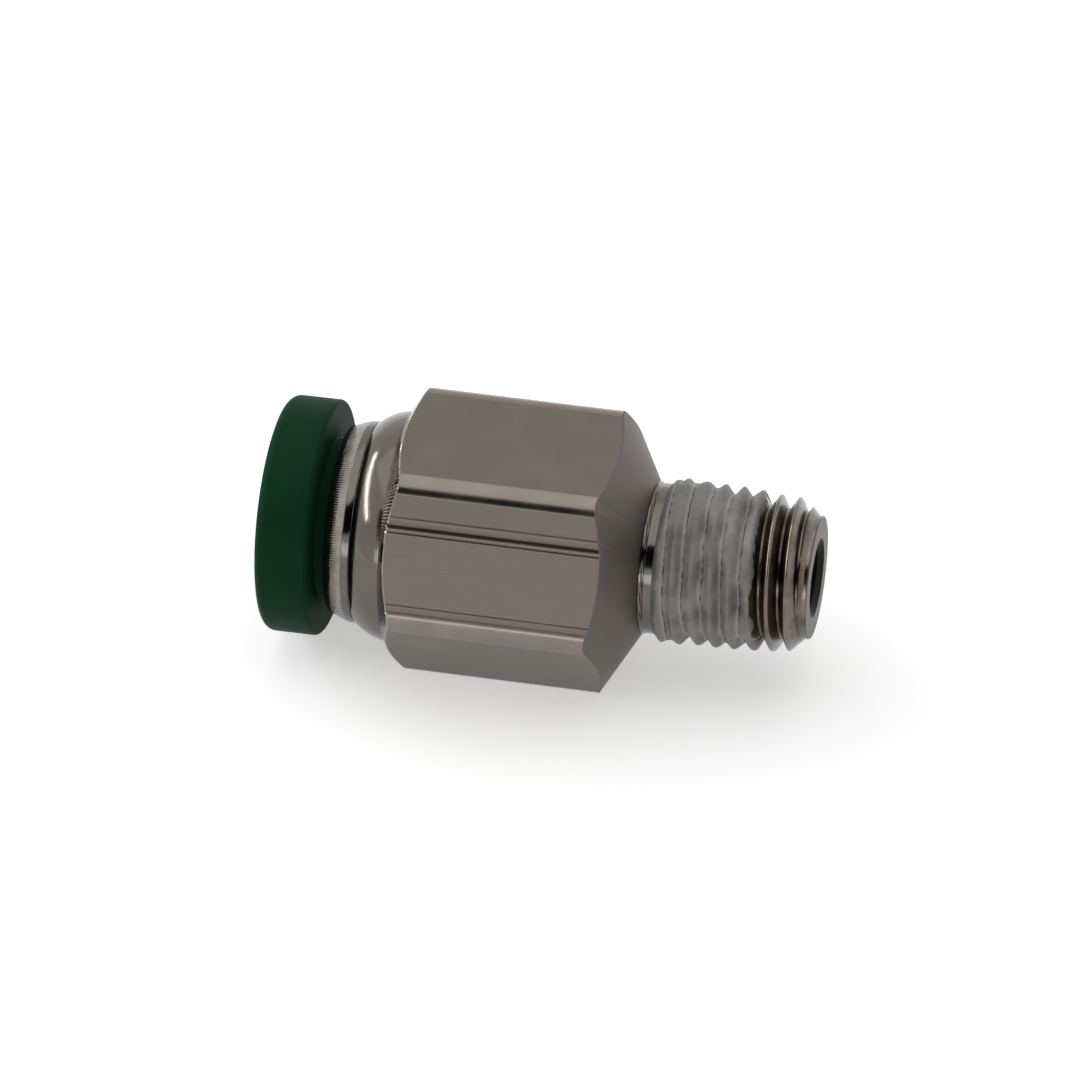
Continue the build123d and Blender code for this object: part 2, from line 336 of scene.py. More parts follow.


# Dried thread sealant: a grey, slightly milky film with a matte skin and light blotches. Painted
# shade darkens the roots, beside a paler band of painted highlight on the flank. Their widths are in pitches
sealantFinish = {
    "base": "#6c6b67", "pale": "#8f8d87", "paintedHighlight": "#94938d", "paintedShadeLine": "#23221f", "blotchSize": 1.2e-3,
    "roughness": (0.4, 0.6), "ior": 1.46, "shadeLineWidth": 0.045, "highlightWidth": 0.12,
    "wander": 0.05, "wanderSize": 0.14e-3, "gapSize": 0.42e-3, "grainSize": 0.16e-3, "grainHeight": 0.012e-3,
}


def makeDriedSealant():
    s = sealantFinish
    material, tree, shader = newMaterial("driedThreadSealant")
    spot = addNode(tree, "ShaderNodeTexCoord")
    blotch = addNode(tree, "ShaderNodeTexNoise",
                     inputs={"Scale": 1 / s["blotchSize"], "Detail": 5.0, "Roughness": 0.6},
                     links={"Vector": (spot, "Object")})
    film = addNode(tree, "ShaderNodeValToRGB", links={"Fac": (blotch, "Fac")},
                   stops=[(0.38, s["base"]), (0.72, s["pale"])])
    # offset along the axis from the nearest root, in pitches; it wanders a little
    offset = addNode(tree, "ShaderNodeAttribute", {"attribute_name": "rootOffset"})
    ragged = addNode(tree, "ShaderNodeTexNoise", inputs={"Scale": 1 / s["wanderSize"], "Detail": 2.0},
                     links={"Vector": (spot, "Object")})
    wander = addNode(tree, "ShaderNodeMapRange", inputs={"To Min": -s["wander"], "To Max": s["wander"]},
                     links={"Value": (ragged, "Fac")})
    moved = addNode(tree, "ShaderNodeMath", {"operation": "ADD"},
                    links={0: (offset, "Fac"), 1: (wander, "Result")})
    # the painted highlight lies on the flank before the root and stops at the painted shade line
    paintedHighlight = addNode(tree, "ShaderNodeMapRange", {"interpolation_type": "SMOOTHSTEP"},
                   inputs={"From Min": -s["highlightWidth"] * 1.6, "From Max": -s["highlightWidth"] * 0.6},
                   links={"Value": (moved, "Value")})
    # where the painted highlight on the flank ends, at the painted shade line
    beadEnd = addNode(tree, "ShaderNodeMapRange", {"interpolation_type": "SMOOTHSTEP"},
                      inputs={"From Min": 0.0, "From Max": s["shadeLineWidth"], "To Min": 1.0, "To Max": 0.0},
                      links={"Value": (moved, "Value")})
    highlightOn = addNode(tree, "ShaderNodeMath", {"operation": "MULTIPLY"},
                     links={0: (paintedHighlight, "Result"), 1: (beadEnd, "Result")})
    withHighlight = addNode(tree, "ShaderNodeMix", {"data_type": "RGBA"}, inputs={"B": toLinear(s["paintedHighlight"])},
                       links={"Factor": (highlightOn, "Value"), "A": (film, "Color")})
    # painted shade along the root, with gaps where a noise is low
    middle = addNode(tree, "ShaderNodeMath", {"operation": "SUBTRACT"}, inputs={1: s["shadeLineWidth"]},
                     links={0: (moved, "Value")})
    far = addNode(tree, "ShaderNodeMath", {"operation": "ABSOLUTE"}, links={0: (middle, "Value")})
    paintedShadeLine = addNode(tree, "ShaderNodeMapRange",
                    inputs={"From Min": s["shadeLineWidth"], "From Max": s["shadeLineWidth"] * 0.4},
                    links={"Value": (far, "Value")})
    broken = addNode(tree, "ShaderNodeTexNoise", inputs={"Scale": 1 / s["gapSize"], "Detail": 4.0},
                     links={"Vector": (spot, "Object")})
    gaps = addNode(tree, "ShaderNodeMapRange", inputs={"From Min": 0.42, "From Max": 0.60},
                   links={"Value": (broken, "Fac")})
    shadeLineOn = addNode(tree, "ShaderNodeMath", {"operation": "MULTIPLY"},
                      links={0: (paintedShadeLine, "Result"), 1: (gaps, "Result")})
    colour = addNode(tree, "ShaderNodeMix", {"data_type": "RGBA"}, inputs={"B": toLinear(s["paintedShadeLine"])},
                     links={"Factor": (shadeLineOn, "Value"), "A": (withHighlight, "Result")})
    tree.links.new(colour.outputs["Result"], shader.inputs["Base Color"])
    rough = addNode(tree, "ShaderNodeMapRange", inputs=overNoise(*s["roughness"]),
                    links={"Value": (blotch, "Fac")})
    tree.links.new(rough.outputs["Result"], shader.inputs["Roughness"])
    shader.inputs["IOR"].default_value = s["ior"]
    grain = addNode(tree, "ShaderNodeTexNoise", inputs={"Scale": 1 / s["grainSize"], "Detail": 3.0},
                    links={"Vector": (spot, "Object")})
    bump = addNode(tree, "ShaderNodeBump", inputs={"Strength": 1.0, "Distance": s["grainHeight"]},
                   links={"Height": (grain, "Fac")})
    tree.links.new(bump.outputs["Normal"], shader.inputs["Normal"])
    return material


# Stainless spring steel: bright and hard, with a faint rolled grain
springFinish = {
    "name": "stainlessSpringSteel", "tones": [(0.3, "#a9a7a2"), (0.7, "#bdbbb6")], "metallic": 1.0,
    "roughness": 0.24, "patchSize": 0.3e-3, "detail": 3.0, "height": 0.003e-3,
}

# Nitrile rubber: near black, matte, with a faint bloom
nitrileFinish = {
    "name": "blackNitrileRubber", "tones": [(0.3, "#161616"), (0.75, "#262624")], "metallic": 0.0,
    "roughness": 0.62, "patchSize": 0.8e-3, "detail": 4.0, "height": 0.006e-3,
}

# Bare turned brass: yellow and satin, mottled by the tool
brassFinish = {
    "name": "bareTurnedBrass", "tones": [(0.3, "#b08d4e"), (0.7, "#c8a565")], "metallic": 1.0,
    "roughness": 0.3, "patchSize": 0.25e-3, "detail": 3.0, "height": 0.004e-3,
}


def makeInnerFinish(s):
    # for the pieces inside, which show only a little
    material, tree, shader = newMaterial(s["name"])
    spot = addNode(tree, "ShaderNodeTexCoord")
    patches = addNode(tree, "ShaderNodeTexNoise",
                      inputs={"Scale": 1 / s["patchSize"], "Detail": s["detail"]},
                      links={"Vector": (spot, "Object")})
    colour = addNode(tree, "ShaderNodeValToRGB", links={"Fac": (patches, "Fac")}, stops=s["tones"])
    tree.links.new(colour.outputs["Color"], shader.inputs["Base Color"])
    shader.inputs["Metallic"].default_value = s["metallic"]
    shader.inputs["Roughness"].default_value = s["roughness"]
    bump = addNode(tree, "ShaderNodeBump", inputs={"Strength": 1.0, "Distance": s["height"]},
                   links={"Height": (patches, "Fac")})
    tree.links.new(bump.outputs["Normal"], shader.inputs["Normal"])
    return material


turnedPlate = makeTurnedPlate(turnedFinish)
markedPlateWithPaintedHighlight = makeTurnedPlate(markedFinishWithPaintedHighlight)
drawnPlate = makeStreakedPlate(drawnFinish)
cornerPlate = makeStreakedPlate(cornerFinish)
facedPlate = makeStreakedPlate(facedFinish)
borePlate = makeStreakedPlate(boreFinish)
threadPlate = makeThreadPlate()
greenAcetal = makeGreenAcetal()
driedSealant = makeDriedSealant()
print("materials made")


body = {
    "acrossFlats": 12.7, "cornerRadius": 1.1, "cornerSteps": 12,
    "shoulderRadius": 5.79, "mouthRadius": 5.11, "shoulderBulge": 0.13, "shoulderSteps": 10,
    "mouthBreak": 0.08, "chamferAngle": 30.0, "neckRadius": 3.75,
    "spigotRadius": 4.62, "spacerSeat": 8.24, "chamberRadius": 4.40, "chamberEnd": 10.09,
    "supportChamfer": 0.2, "tubeStop": 14.19, "drillAngle": 59.0, "flowRadius": 1.70,
    "flowChamfer": 0.28, "endEdge": 0.06,
    "burr": 0.05, "burrLean": (0.3, 0.95),     # the broken edge between the flats and the cones
    "weld": 0.004,                             # rings of two sheets this close are joined
    # faces are told apart by place and lean, which is how far they point along the axis
    "flatReach": 6.0, "rootReach": 2.9, "level": 0.05, "coneLean": (-0.2, 0.4),
    # die lines on the upper front flat: place across it from its middle, half width, depth, lip
    "dieLineTurn": 150.0,
    "dieLines": ((-1.85, 0.04, 0.035, 0.004), (-1.37, 0.075, 0.11, 0.01), (-1.07, 0.045, 0.05, 0.004),
                 (2.50, 0.035, 0.02, 0.0), (2.95, 0.05, 0.03, 0.008)),
    # tool ring where the rear cone meets the neck: station, radius
    "neckRing": ((18.74, 3.75), (18.80, 3.80), (18.90, 3.80), (18.94, 3.72), (18.99, 3.72), (19.03, 3.75)),
}

# the thread of the stud
stud = {
    "endRadius": 3.82, "taper": 1 / 32, "startChamfer": 0.26, "chamferStart": 26.09,
    "noseStart": 26.85, "noseRadius": 3.09, "depth": 0.62, "crestRound": 0.13,
    "slope": 1.732,          # flanks 60 degrees apart
    "fadeStart": 19.2, "fadeLength": 1.9, "rowsPerPitch": 20,
}


def crestRadius(station):
    return stud["endRadius"] + (fitting["studEnd"] - station) * stud["taper"]


def blankRadius(station):
    # the plain stud before its thread is cut
    start = fitting["neckEnd"]
    if station <= start:
        return body["neckRadius"]
    full = crestRadius(station)
    rise = (station - start) / stud["startChamfer"]
    if rise < 1:
        full = body["neckRadius"] + (full - body["neckRadius"]) * rise
    if station > stud["chamferStart"]:
        drop = (station - stud["chamferStart"]) / (stud["noseStart"] - stud["chamferStart"])
        full -= min(drop, 1) * (crestRadius(stud["chamferStart"]) - stud["noseRadius"])
    return full


def neckRadius(station):
    # the neck, with the small ring that the tool left at its root
    ring = body["neckRing"]
    for before, after in zip(ring, ring[1:]):
        if before[0] <= station <= after[0]:
            share = (station - before[0]) / (after[0] - before[0])
            return before[1] + (after[1] - before[1]) * share
    return body["neckRadius"]


def rootOffset(station, turn):
    # offset in pitches from the nearest root, for a turn in degrees from +Y towards +Z
    steps = (station - fitting["threadMark"]) / fitting["threadPitch"]
    steps -= (turn - fitting["threadMarkTurn"]) / 360
    return steps - 0.5 - round(steps - 0.5)


def threadRadius(station, turn):
    # a groove between crests with rounded tops, which runs out towards the neck
    away = (0.5 - abs(rootOffset(station, turn))) * fitting["threadPitch"]
    top = stud["crestRound"]
    drop = (away * away / (2 * top) if away < top else away - top / 2) * stud["slope"]
    fade = min(1.0, max(0.0, (station - stud["fadeStart"]) / stud["fadeLength"]))
    if station < fitting["neckEnd"]:
        return neckRadius(station)
    cut = crestRadius(station) - min(drop, stud["depth"])
    root = crestRadius(station) - stud["depth"] * fade
    return min(blankRadius(station), max(cut, root))


def threadSheet(name, start, end, radiusAt, rowsPerPitch):
    # a grid whose rows follow the helix, so that crests and roots are clean edges. No operator
    # turns a tapered thread that runs out, so this one is built row by row
    columns, pitch = fitting["columns"], fitting["threadPitch"]
    low = math.floor((start - fitting["threadMark"]) / pitch) - 2
    high = math.ceil((end - fitting["threadMark"]) / pitch) + 2
    rows = (high - low) * rowsPerPitch
    sheet = bmesh.new()
    layer = sheet.verts.layers.float.new("rootOffset")
    grid = []
    for column in range(columns):
        turn = 360.0 * column / columns
        line = []
        for row in range(rows + 1):
            station = (fitting["threadMark"] + (low + row / rowsPerPitch) * pitch
                       + pitch * (turn - fitting["threadMarkTurn"]) / 360)
            station = min(max(station, start), end)
            radius = radiusAt(station, turn)
            angle = math.radians(turn)
            spot = place(station, radius * math.cos(angle), radius * math.sin(angle))
            vertex = sheet.verts.new(spot)
            vertex[layer] = rootOffset(station, turn)
            line.append(vertex)
        grid.append(line)
    for column in range(columns):
        wrap = column == columns - 1
        after = grid[0] if wrap else grid[column + 1]
        shift = rowsPerPitch if wrap else 0
        for row in range(rows):
            if row + 1 + shift <= rows:
                sheet.faces.new((grid[column][row], grid[column][row + 1],
                                 after[row + 1 + shift], after[row + shift]))
    # rows past either end were held at it, so their faces have no area and go
    bmesh.ops.remove_doubles(sheet, verts=sheet.verts, dist=1e-4)
    bmesh.ops.dissolve_degenerate(sheet, edges=sheet.edges, dist=1e-5)
    mesh = bpy.data.meshes.new(name)
    sheet.to_mesh(mesh)
    sheet.free()
    piece = bpy.data.objects.new(name, mesh)
    bpy.context.collection.objects.link(piece)
    return piece


def scoreDieLines(bar):
    # long lines from the drawing die: cuts across one flat, pushed in at their middle
    s = body
    turn = math.radians(s["dieLineTurn"])
    out = Vector((0, math.cos(turn), math.sin(turn)))
    across = Vector((0, -math.sin(turn), math.cos(turn)))
    face = Vector((0, 0, fitting["axisHeight"])) + out * s["acrossFlats"] / 2
    for spot, half, depth, lip in s["dieLines"]:
        shifts = [(-2 * half, 0), (-1.3 * half, lip), (0, -depth), (1.3 * half, lip), (2 * half, 0)]
        for shift, _ in shifts:
            pickFlat(bar, out, face)
            bpy.ops.mesh.bisect(plane_co=face + across * (spot + shift), plane_no=across)
        for shift, move in shifts:
            if not move:
                continue
            bpy.ops.mesh.select_mode(type="EDGE")
            bpy.ops.mesh.select_all(action="DESELECT")
            work = bmesh.from_edit_mesh(bar.data)
            for edge in work.edges:
                middle = (edge.verts[0].co + edge.verts[1].co) / 2 - face
                onLine = abs(middle.dot(across) - spot - shift) < fitting["near"]
                edge.select_set(onLine and abs(middle.dot(out)) < fitting["near"])
            bmesh.update_edit_mesh(bar.data)
            bpy.ops.transform.translate(value=out * move)


def pickFlat(bar, out, face):
    # selects the faces that lie in one flat of the bar
    bpy.ops.mesh.select_mode(type="FACE")
    bpy.ops.mesh.select_all(action="DESELECT")
    work = bmesh.from_edit_mesh(bar.data)
    for patch in work.faces:
        height = (patch.calc_center_median() - face).dot(out)
        patch.select_set(patch.normal.dot(out) > 0.999 and abs(height) < 0.02)
    bmesh.update_edit_mesh(bar.data)


def makeBody():
    s = body
    hexStart, hexEnd = fitting["hexStart"], fitting["hexEnd"]
    across = s["acrossFlats"]

    # drawn bar: a six-sided primitive, longer than the hexagon, with its long corners rounded
    deselectAll()
    bpy.ops.mesh.primitive_cylinder_add(
        vertices=6, radius=across / math.sqrt(3), depth=hexEnd - hexStart + 2,
        location=place((hexStart + hexEnd) / 2), rotation=(0, math.pi / 2, 0))
    bar = bpy.context.object
    bar.name = "body_plated"
    bpy.ops.object.transform_apply(location=True, rotation=True, scale=True)
    # turn it so that flats face up and down
    tallest = max(v.co.z for v in bar.data.vertices) - fitting["axisHeight"]
    bpy.ops.object.mode_set(mode="EDIT")
    bpy.ops.mesh.select_all(action="SELECT")
    if tallest > across / 2 + 0.1:
        bpy.ops.transform.rotate(value=math.radians(30), orient_axis="X", center_override=place(0))
    bpy.ops.mesh.select_all(action="DESELECT")
    bpy.ops.mesh.select_mode(type="EDGE")
    work = bmesh.from_edit_mesh(bar.data)
    for edge in work.edges:
        along = (edge.verts[0].co - edge.verts[1].co).normalized()
        edge.select_set(abs(along.x) > 0.99)
    bmesh.update_edit_mesh(bar.data)
    # a bevel's offset runs along the flats from the old corner: r * tan(30)
    bpy.ops.mesh.bevel(offset=s["cornerRadius"] * math.tan(math.radians(30)), offset_type="OFFSET",
                       segments=s["cornerSteps"], affect="EDGES")
    scoreDieLines(bar)
    bpy.ops.object.mode_set(mode="OBJECT")

    # the turned envelope cuts both ends down at 30 degrees
    reach = across / math.sqrt(3)
    slope = math.tan(math.radians(s["chamferAngle"]))
    envelope = turned("envelope", [
        (hexStart, s["shoulderRadius"]),
        (hexStart + (reach - s["shoulderRadius"]) * slope, reach),
        (hexEnd - (reach - s["neckRadius"]) * slope, reach),
        (hexEnd, s["neckRadius"])])
    bpy.ops.object.mode_set(mode="EDIT")
    bpy.ops.mesh.select_all(action="DESELECT")
    bpy.ops.mesh.select_non_manifold(extend=False, use_boundary=True)
    bpy.ops.mesh.edge_face_add()
    bpy.ops.mesh.select_all(action="SELECT")
    bpy.ops.mesh.normals_make_consistent(inside=False)
    bpy.ops.object.mode_set(mode="OBJECT")
    modify(bar, "BOOLEAN", object=envelope, operation="INTERSECT", solver="EXACT")
    bpy.data.objects.remove(envelope)

    # a fine broken edge where the drawn flats meet the turned cones
    pick(bar)
    bpy.ops.object.mode_set(mode="EDIT")
    bpy.ops.mesh.select_mode(type="EDGE")
    bpy.ops.mesh.select_all(action="DESELECT")
    work = bmesh.from_edit_mesh(bar.data)
    low, high = s["burrLean"]
    for edge in work.edges:
        lean = sorted(abs(face.normal.x) for face in edge.link_faces)
        edge.select_set(len(lean) == 2 and lean[0] < s["level"] and low < lean[1] < high)
    bmesh.update_edit_mesh(bar.data)
    bpy.ops.mesh.bevel(offset=s["burr"], offset_type="OFFSET", segments=1, affect="EDGES")
    bpy.ops.object.mode_set(mode="OBJECT")

    # open both ends, where the turned surfaces join on
    pick(bar)
    bpy.ops.object.mode_set(mode="EDIT")
    bpy.ops.mesh.select_mode(type="FACE")
    bpy.ops.mesh.select_all(action="DESELECT")
    work = bmesh.from_edit_mesh(bar.data)
    for face in work.faces:
        middle = face.calc_center_median().x
        fromEnd = min(abs(middle - place(hexStart).x), abs(middle - place(hexEnd).x))
        face.select_set(fromEnd < fitting["near"] and abs(face.normal.x) > 0.99)
    bmesh.update_edit_mesh(bar.data)
    bpy.ops.mesh.delete(type="FACE")
    bpy.ops.object.mode_set(mode="OBJECT")

    # shoulder, mouth and stepped bore, as one turned sheet from the hexagon round to the stud's end
    mouth, lip = fitting["mouth"], s["mouthRadius"]
    chordStart = Vector((mouth + s["mouthBreak"], lip))
    chord = Vector((hexStart, s["shoulderRadius"])) - chordStart
    outward = Vector((-chord.y, chord.x)).normalized()
    arc = []
    for i in range(s["shoulderSteps"] + 1):
        t = i / s["shoulderSteps"]
        point = chordStart + chord * t + outward * s["shoulderBulge"] * 4 * t * (1 - t)
        arc.append((point.x, point.y))
    drill = (fitting["socketRadius"] - s["flowRadius"]) / math.tan(math.radians(s["drillAngle"]))
    nose = stud["noseRadius"]
    sheet = turned("turned_faces", list(reversed(arc)) + [
        (mouth, lip - s["mouthBreak"]),
        (mouth, s["spigotRadius"]),
        (s["spacerSeat"], s["spigotRadius"]),
        (s["spacerSeat"], s["chamberRadius"]),
        (s["chamberEnd"], s["chamberRadius"]),
        (s["chamberEnd"], fitting["socketRadius"] + s["supportChamfer"]),
        (s["chamberEnd"] + s["supportChamfer"], fitting["socketRadius"]),
        (s["tubeStop"], fitting["socketRadius"]),
        (s["tubeStop"] + drill, s["flowRadius"]),
        (fitting["studEnd"] - s["flowChamfer"], s["flowRadius"]),
        (fitting["studEnd"], s["flowRadius"] + s["flowChamfer"]),
        (fitting["studEnd"], nose - s["endEdge"]),
        (fitting["studEnd"] - s["endEdge"], nose)])

    thread = threadSheet("thread_faces", hexEnd, fitting["studEnd"] - s["endEdge"],
                         threadRadius, stud["rowsPerPitch"])
    deselectAll()
    for piece in (bar, sheet, thread):
        piece.select_set(True)
    bpy.context.view_layer.objects.active = bar
    bpy.ops.object.join()
    bpy.ops.object.mode_set(mode="EDIT")
    bpy.ops.mesh.select_all(action="SELECT")
    bpy.ops.mesh.remove_doubles(threshold=s["weld"])
    bpy.ops.mesh.normals_make_consistent(inside=False)
    bpy.ops.object.mode_set(mode="OBJECT")

    # each face's finish, from its place and the way it points
    finishes = {"turned": turnedPlate, "drawn": drawnPlate, "corner": cornerPlate, "thread": threadPlate,
                "faced": facedPlate, "toolMarked": markedPlateWithPaintedHighlight, "bore": borePlate}
    for material in finishes.values():
        bar.data.materials.append(material)
    slots = {name: index for index, name in enumerate(finishes)}
    flatHalf = (across / 2 - s["cornerRadius"]) * math.tan(math.radians(30))
    middle = (hexStart + hexEnd) / 2
    for face in bar.data.polygons:
        station = face.center.x - fitting["frontX"]
        spoke = Vector((face.center.y, face.center.z - fitting["axisHeight"]))
        away = spoke.length
        lean = face.normal.x
        finish = "turned"
        if away > s["flatReach"] and abs(lean) < s["level"]:
            # flats stand at 30, 90, 150 degrees and so on
            fromFlat = (math.degrees(math.atan2(spoke.y, spoke.x)) % 60) - 30
            offMiddle = away * math.sin(math.radians(fromFlat))
            finish = "corner" if abs(offMiddle) > flatHalf else "drawn"
        elif station > fitting["studEnd"] - 0.01 and away > s["flowRadius"]:
            finish = "faced"                                   # the stud's end
        elif station > s["tubeStop"] and away < s["flowRadius"] + s["flowChamfer"]:
            finish = "bore"
        elif station > fitting["neckEnd"] and away > s["rootReach"]:
            finish = "thread"
        elif middle < station < hexEnd and away > s["neckRadius"] and lean > s["coneLean"][1]:
            finish = "faced"                                   # the rear cone
        elif hexStart < station < middle and away > s["shoulderRadius"] and lean < s["coneLean"][0]:
            finish = "toolMarked"                              # the front chamfer
        face.material_index = slots[finish]
    finishPiece(bar, "fitting", "body")
    modify(bar, "WEIGHTED_NORMAL", keep_sharp=True, weight=100)   # no rays in the long cone faces


makeBody()


collar = {
    "nose": 3.12, "band": 4.12, "noseRadius": 4.69, "bandRadius": 5.05, "boreRadius": 4.04,
    "coneStart": 4.69, "coneEnd": 6.34, "coneAngle": 12.0,
    # broken edges: outside, its soft middle, at the bore, at the nose and where the band starts
    "edgeBreak": 0.08, "edgeRound": 0.02, "boreBreak": 0.05, "noseRise": 0.01, "bandEase": (0.03, 0.012),
}


def makeCollar():
    s = collar
    mouth, soft = fitting["mouth"], s["edgeRound"]
    ease, dip = s["bandEase"]
    coneRadius = s["boreRadius"] + (s["coneEnd"] - s["coneStart"]) * math.tan(math.radians(s["coneAngle"]))
    outside = [
        (s["nose"], s["boreRadius"] + s["boreBreak"]),
        (s["nose"], s["noseRadius"] - s["edgeBreak"]),
        (s["nose"] + soft, s["noseRadius"] - soft),
        (s["nose"] + s["edgeBreak"], s["noseRadius"] + s["noseRise"]),
        (s["band"] - ease, s["bandRadius"] - dip),
        (s["band"] + ease, s["bandRadius"]),
        (mouth - s["edgeBreak"], s["bandRadius"]),
        (mouth - soft, s["bandRadius"] - soft),
        (mouth, s["bandRadius"] - s["edgeBreak"]),
        (mouth, body["spigotRadius"]),
        (s["coneEnd"], body["spigotRadius"]),
        (s["coneEnd"], coneRadius),
        (s["coneStart"], s["boreRadius"]),
        (s["nose"] + s["boreBreak"], s["boreRadius"])]
    piece = turned("retaining_collar_plated", outside + [outside[0]], closed=True)
    piece.data.materials.append(turnedPlate)
    piece.data.materials.append(markedPlateWithPaintedHighlight)
    # the cone in front of the band was left with tool marks, and takes the paler plate as painted highlight
    for face in piece.data.polygons:
        station = face.center.x - fitting["frontX"]
        if s["nose"] < station < s["band"] and face.normal.x < -0.2:
            face.material_index = 1
    finishPiece(piece, "fitting", "retaining_collar")


makeCollar()


button = {
    "radius": 5.9, "thickness": 2.62, "edgeRadius": 0.5, "rearEdgeRadius": 0.2, "edgeSteps": 8,
    "leadIn": 0.4, "leadInSag": 0.11, "lipLength": 1.6,
    "sleeveEnd": 5.12, "sleeveRadius": 3.98, "sleeveBreak": 0.05, "seatRadius": 3.66,
    "beadStart": 1.99, "beadEnd": 2.39, "beadRadius": 3.70, "clearance": 0.08,
    # it hangs a little askew in its clearance: turns about Y and Z in degrees, about this station,
    # and stands out by this much, so that it clears the collar when it is pushed home
    "askew": (-1.0, -0.4), "askewStation": 3.6, "standOut": 0.07,
}


def makeButton():
    s = button
    way = fitting["socketRadius"]
    edge = s["radius"] - s["edgeRadius"]
    grooveFront, grooveBack = s["beadStart"] - s["clearance"], s["beadEnd"] + s["clearance"]
    grooveRadius = s["beadRadius"] + s["clearance"]
    rear, ease = s["rearEdgeRadius"], s["sleeveBreak"]
    profile = [(0, way + s["leadIn"])]
    profile += arcPoints((s["edgeRadius"], edge), s["edgeRadius"], 180, 90, s["edgeSteps"])
    profile += arcPoints((s["thickness"] - rear, s["radius"] - rear), rear, 90, 0, s["edgeSteps"])
    profile += [
        (s["thickness"], s["sleeveRadius"] + ease),
        (s["thickness"] + ease, s["sleeveRadius"]),
        (s["sleeveEnd"] - ease, s["sleeveRadius"]),
        (s["sleeveEnd"], s["sleeveRadius"] - ease),
        (s["sleeveEnd"], s["seatRadius"]),
        (grooveBack, s["seatRadius"]),
        (grooveBack, grooveRadius),
        (grooveFront, grooveRadius),
        (grooveFront, s["seatRadius"]),
        (s["lipLength"], s["seatRadius"]),
        (s["lipLength"], way),
        (s["leadIn"], way),
        (s["leadIn"] / 2, way + s["leadInSag"])]
    piece = turned("release_button_green", profile + [profile[0]], closed=True)
    bpy.ops.object.mode_set(mode="EDIT")
    bpy.ops.mesh.select_all(action="SELECT")
    for axis, turn in zip("YZ", s["askew"]):
        bpy.ops.transform.rotate(value=math.radians(-turn), orient_axis=axis,
                                 center_override=place(s["askewStation"]))
    bpy.ops.transform.translate(value=(-s["standOut"], 0, 0))
    bpy.ops.object.mode_set(mode="OBJECT")
    piece.data.materials.append(greenAcetal)
    finishPiece(piece, "button", "release_button")


makeButton()


sealant = {
    "start": 19.42, "end": 24.45, "sheetEnd": 25.2, "rowsPerPitch": 16,
    # the edge where it stops: how far it wanders in long and in short waves, and its lean
    "endWander": 0.35, "endFine": 0.1, "endWaves": (2.2, 9.0), "endLean": 0.2,
    "startFade": 0.08, "endFade": 0.25, "sunk": 0.012,
    "thickness": 0.075, "evenShare": 0.8, "lumps": 1.0, "lumpWaves": (1.1, 3.0),
    # how much of a root it fills, at the neck and at its end, and how far that varies
    "rootFill": (0.60, 0.30), "fillWander": 0.9, "fillWaves": (0.5, 2.4), "fillLimits": (0.1, 0.95),
}


def ripple(turn, along, waves, shift=0.0):
    # smooth noise along the axis and round it; the shift only takes another part of the noise
    angle = math.radians(turn)
    return noise.noise(Vector((along, math.cos(angle) * waves, math.sin(angle) * waves + shift)))


def sealantEnd(turn):
    # the ragged edge where the film stops, further along underneath
    s = sealant
    angle = math.radians(turn)
    broad, short = s["endWaves"]
    wander = noise.noise(Vector((math.cos(angle) * broad, math.sin(angle) * broad, 5.0)))
    fine = noise.noise(Vector((math.cos(angle) * short, math.sin(angle) * short, 8.0)))
    return s["end"] - s["endLean"] * math.sin(angle) + s["endWander"] * wander + s["endFine"] * fine


def sealantRadius(station, turn):
    # the film rounds the crests off and pools in the roots
    s = sealant
    bare = threadRadius(station, turn)
    crest = min(crestRadius(station), blankRadius(station))
    along = min(1.0, max(0.0, (station - s["start"]) / (s["end"] - s["start"])))
    fill = s["rootFill"][0] + (s["rootFill"][1] - s["rootFill"][0]) * along
    smear = ripple(turn, station * s["fillWaves"][0], s["fillWaves"][1], 4)
    fill = min(s["fillLimits"][1], max(s["fillLimits"][0], fill + s["fillWander"] * smear))
    pooled = crest - (crest - bare) * (1 - fill)
    lump = ripple(turn, station * s["lumpWaves"][0], s["lumpWaves"][1])
    thickness = s["thickness"] * (s["evenShare"] + s["lumps"] * lump)
    left = min(1.0, max(0.0, (sealantEnd(turn) - station) / s["endFade"]))
    thin = left * min(1.0, max(0.0, (station - s["start"]) / s["startFade"]))
    cover = thin ** 0.6      # it comes up steeply from its edge
    return bare + ((pooled + thickness) - bare) * cover - s["sunk"] * (1 - cover)


def sealantInside(station, turn):
    # just under the thread's own surface
    return threadRadius(station, turn) - sealant["sunk"]


def makeSealant():
    s = sealant
    outer = threadSheet("thread_sealant_dried", s["start"], s["sheetEnd"], sealantRadius, s["rowsPerPitch"])
    inner = threadSheet("sealant_inside", s["start"], s["sheetEnd"], sealantInside, s["rowsPerPitch"])
    deselectAll()
    outer.select_set(True)
    inner.select_set(True)
    bpy.context.view_layer.objects.active = outer
    bpy.ops.object.join()
    bpy.ops.object.mode_set(mode="EDIT")
    bpy.ops.mesh.select_all(action="SELECT")
    bpy.ops.mesh.remove_doubles(threshold=0.002)
    bpy.ops.mesh.normals_make_consistent(inside=False)
    bpy.ops.object.mode_set(mode="OBJECT")
    outer.data.materials.append(driedSealant)
    finishPiece(outer, "fitting", "thread_sealant", smoothAngle=50)


makeSealant()


# pieces inside, whose CAD shape stays
innerFinishes = {"collet": springFinish, "tube_seal": nitrileFinish, "seal_spacer": brassFinish}

for node, finish in innerFinishes.items():
    material = makeInnerFinish(finish)
    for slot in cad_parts[node].material_slots:
        slot.material = material
print("collet, seal and spacer finished")


